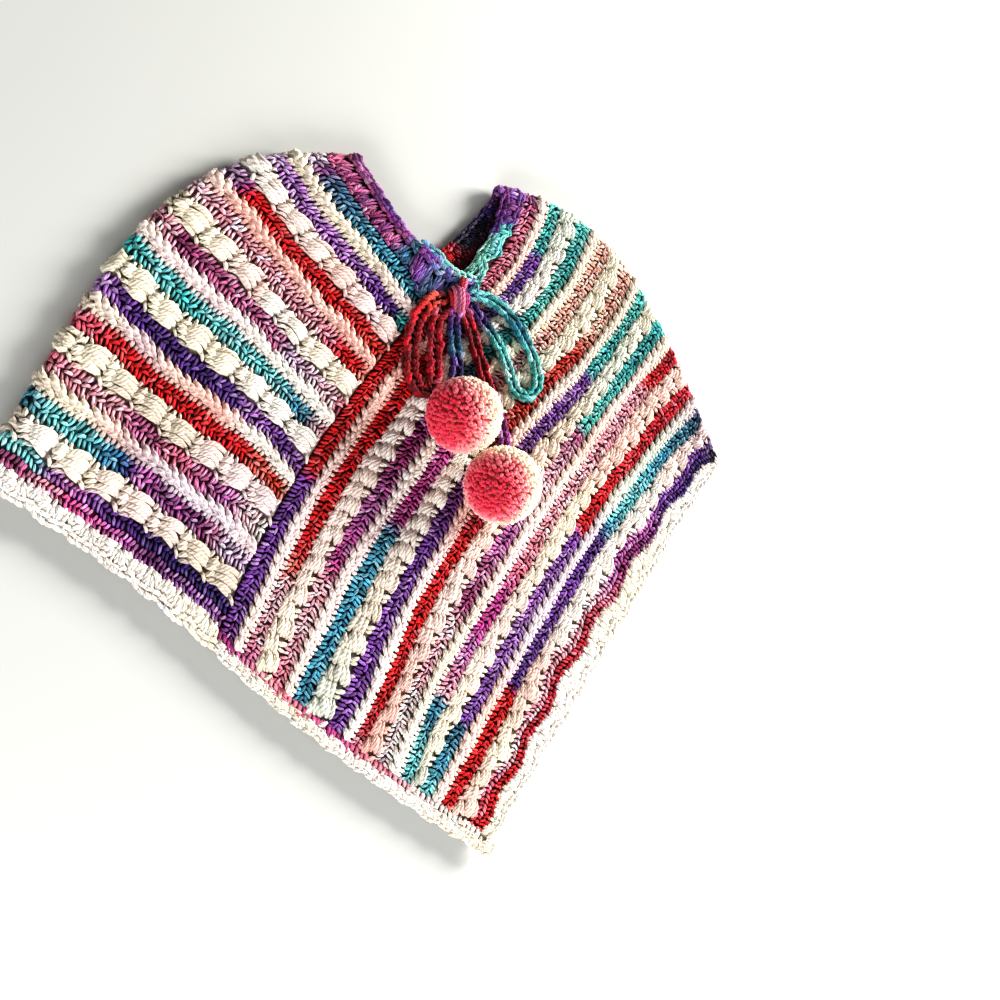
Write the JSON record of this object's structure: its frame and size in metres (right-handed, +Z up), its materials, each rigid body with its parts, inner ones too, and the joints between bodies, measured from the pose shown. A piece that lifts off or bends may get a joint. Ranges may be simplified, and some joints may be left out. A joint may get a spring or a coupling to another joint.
{
  "type": "crochet poncho",
  "caption": "Child's striped crochet poncho of joined rectangles, laid flat: V neck, pointed hem, scalloped edging and a drawstring bow with pom-poms.",
  "frame": {"origin": "on the surface the poncho lies on, under the middle of its outline", "axes": "+Z up out of the surface, +Y from the hem towards the neck, +X towards the wearer's left side"},
  "size_m": [0.4726, 0.429, 0.0557],
  "materials": {
    "striped_crochet": "matte cotton crochet in stripes of variegated yarn and ecru",
    "ecru_crochet": "matte ecru cotton crochet",
    "neck_crochet": "matte cotton crochet in variegated yarn",
    "cord_yarn": "matte crocheted chain cord in variegated yarn",
    "pompom_yarn": "soft cut yarn ends"
  },
  "bodies": {
    "root": {"panel_left": "striped_crochet", "panel_right": "striped_crochet", "hem_edging_left": "ecru_crochet", "hem_edging_right": "ecru_crochet", "hem_edging_front_end": "ecru_crochet", "hem_edging_back_end": "ecru_crochet", "neck_edging_left": "neck_crochet", "neck_edging_back": "neck_crochet", "neck_edging_turned": "neck_crochet", "drawstring_loop_left": "cord_yarn", "drawstring_loop_right": "cord_yarn", "drawstring_tail_short": "cord_yarn", "drawstring_tail_long": "cord_yarn", "drawstring_knot": "cord_yarn", "pompom_upper": "pompom_yarn", "pompom_lower": "pompom_yarn"}
  },
  "joints": []
}
